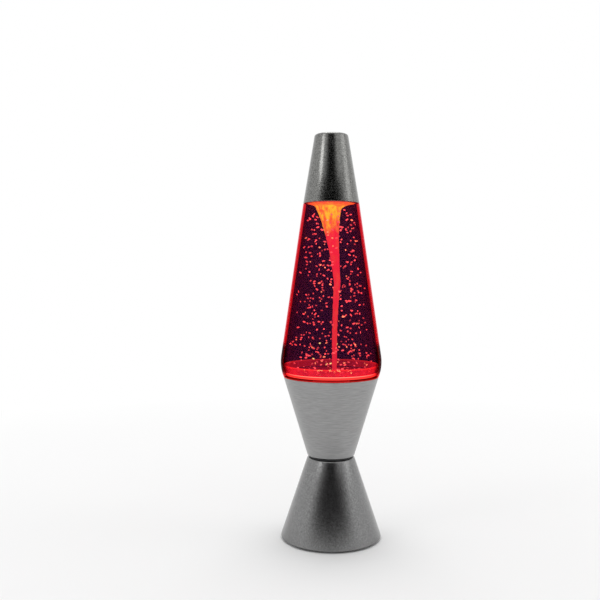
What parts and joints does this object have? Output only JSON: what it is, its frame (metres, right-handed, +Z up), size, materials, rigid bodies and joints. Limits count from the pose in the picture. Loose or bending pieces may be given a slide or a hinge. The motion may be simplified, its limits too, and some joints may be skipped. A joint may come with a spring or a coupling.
{
  "type": "tornado lamp",
  "caption": "Table lamp with a two-cone metal base, a clear tapered bottle of liquid with a lit whirling funnel in it, and a metal cap.",
  "frame": {"origin": "middle of the base on the table", "axes": "+Z up; the front faces -Y and the power inlet and push button face +Y"},
  "size_m": [0.09, 0.09, 0.36],
  "materials": {
    "aluminium": "satin",
    "black_plastic": "matte",
    "steel": "satin",
    "white_plastic": "satin",
    "magnet": "gloss",
    "board": "satin",
    "light": "gloss",
    "window": "satin",
    "soft_rubber": "matte",
    "lead": "matte",
    "bottle": "gloss",
    "lit_floor": "gloss",
    "liquid": "gloss"
  },
  "bodies": {
    "base": {"lower_cone": "aluminium", "upper_cup": "aluminium", "waist_ring": "black_plastic", "motor_end_cap": "black_plastic", "control_chip": "black_plastic", "base_plate": "black_plastic", "rear_insert": "black_plastic", "usb_tongue": "black_plastic", "button_switch": "black_plastic", "waist_tube": "steel", "lower_nut": "steel", "upper_nut": "steel", "motor_can": "steel", "usb_shell": "steel", "motor_screw_1": "steel", "motor_screw_2": "steel", "light_board_screw_1": "steel", "light_board_screw_2": "steel", "control_board_screw_1": "steel", "control_board_screw_2": "steel", "base_screw_1": "steel", "base_screw_2": "steel", "base_screw_3": "steel", "base_screw_4": "steel", "motor_carrier": "white_plastic", "lead_plug": "white_plastic", "light_board": "board", "control_board": "board", "light_1": "light", "light_2": "light", "light_3": "light", "light_4": "light", "light_5": "light", "light_6": "light", "light_window": "window", "seat_ring": "soft_rubber", "foot_1": "soft_rubber", "foot_2": "soft_rubber", "foot_3": "soft_rubber", "foot_4": "soft_rubber", "motor_lead": "lead", "light_lead": "lead"},
    "drive_rotor": {"motor_shaft": "steel", "magnet_holder": "black_plastic", "drive_magnet_1": "magnet", "drive_magnet_2": "magnet"},
    "bottle": {"bottle": "bottle", "bottle_floor": "lit_floor", "impeller_pin": "steel", "liquid": "liquid", "stopper": "white_plastic", "stopper_seal": "soft_rubber"},
    "impeller": {"impeller": "white_plastic", "impeller_magnet_1": "magnet", "impeller_magnet_2": "magnet"},
    "cap": {"cap": "aluminium", "cap_collar": "black_plastic"},
    "power_button": {"power_button": "white_plastic"}
  },
  "joints": [
    {"name": "drive_spin", "type": "hinge", "parent": "base", "child": "drive_rotor", "pos_m": [0, 0, 0.12], "axis": [0, 0, 1], "continuous": true},
    {"name": "bottle_lift", "type": "slide", "parent": "base", "child": "bottle", "axis": [0, 0, 1], "range_m": [0, 0.1]},
    {"name": "impeller_spin", "type": "hinge", "parent": "bottle", "child": "impeller", "pos_m": [0, 0, 0.142], "axis": [0, 0, 1], "continuous": true},
    {"name": "cap_lift", "type": "slide", "parent": "bottle", "child": "cap", "axis": [0, 0, 1], "range_m": [0, 0.06]},
    {"name": "button_press", "type": "slide", "parent": "base", "child": "power_button", "axis": [0, -1, 0], "range_m": [0, 0.001], "stiffness_N_per_m": 400, "springref_m": -0.001}
  ],
  "couplings": [
    {"joint": "impeller_spin", "follows": "drive_spin", "ratio": 1}
  ]
}
